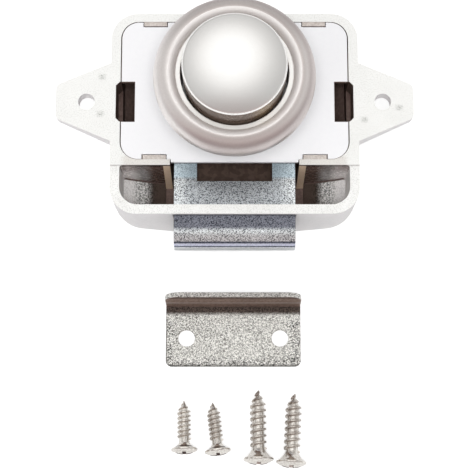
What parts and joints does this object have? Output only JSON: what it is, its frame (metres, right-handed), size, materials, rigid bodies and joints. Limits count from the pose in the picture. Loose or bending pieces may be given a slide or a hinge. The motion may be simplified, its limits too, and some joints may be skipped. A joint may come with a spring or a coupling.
{
  "type": "cabinet latch",
  "caption": "Push button latch for a cabinet door: cast case with ears, sliding bolt, popped out round knob in a domed rosette, strike plate and screws.",
  "frame": {"origin": "midway between the two ear screw holes, on the face of the case that lies against the door; the knob axis passes through it", "axes": "+Z out through the door along the knob axis, +X along the line of the two ear holes, the bolt comes out towards -Y"},
  "size_m": [0.087, 0.1104, 0.0563],
  "materials": {
    "cast_nickel": "satin cast nickel plating",
    "cover_white": "smooth white coating",
    "barrel_nylon": "matt moulded",
    "knob_nickel": "satin nickel",
    "plunger_zinc": "as cast",
    "pin_steel": "ground",
    "spring_steel": "drawn wire",
    "bolt_zinc": "blue bright zinc plating",
    "bracket_zinc": "zinc plating",
    "rosette_nickel": "satin nickel",
    "strike_zinc": "warm zinc plating",
    "screw_nickel": "bright nickel"
  },
  "bodies": {
    "case": {"latch_case": "cast_nickel", "cover_plate": "cover_white", "door_barrel": "barrel_nylon", "knob_spring": "spring_steel", "return_spring_left": "spring_steel", "return_spring_right": "spring_steel", "follower_bracket": "bracket_zinc", "follower_pin": "pin_steel", "bracket_rivet": "pin_steel", "follower_leaf_spring": "spring_steel", "strike_plate": "strike_zinc", "ear_screws": "screw_nickel", "strike_screws": "screw_nickel"},
    "knob": {"knob_cap": "knob_nickel", "plunger": "plunger_zinc", "knob_pin": "pin_steel"},
    "bolt": {"bolt": "bolt_zinc", "drive_pin": "pin_steel", "drive_roller": "pin_steel", "bolt_spring_pegs": "pin_steel"},
    "follower": {"heart_follower": "spring_steel"},
    "rosette": {"rosette": "rosette_nickel", "rosette_tube": "barrel_nylon", "rosette_grip_ring": "spring_steel"}
  },
  "joints": [
    {"name": "knob_press", "type": "slide", "parent": "case", "child": "knob", "axis": [0, 0, -1], "range_m": [0, 0.0075], "stiffness_N_per_m": 800, "springref_m": -0.006, "deforming": ["knob_spring"]},
    {"name": "bolt_slide", "type": "slide", "parent": "case", "child": "bolt", "axis": [0, -1, 0], "range_m": [0, 0.006], "stiffness_N_per_m": 250, "springref_m": -0.004, "deforming": ["return_spring_left", "return_spring_right"]},
    {"name": "follower_swing", "type": "hinge", "parent": "case", "child": "follower", "pos_m": [0.011, 0.0005, -0.0195], "axis": [-1, 0, 0], "range_deg": [0, 10.2]},
    {"name": "rosette_adjust", "type": "slide", "parent": "case", "child": "rosette", "axis": [0, 0, 1], "range_m": [-0.003, 0.006]}
  ],
  "couplings": [
    {"joint": "bolt_slide", "follows": "knob_press", "ratio": 0.8},
    {"joint": "follower_swing", "follows": "knob_press", "rad_per_m": 23.653}
  ]
}
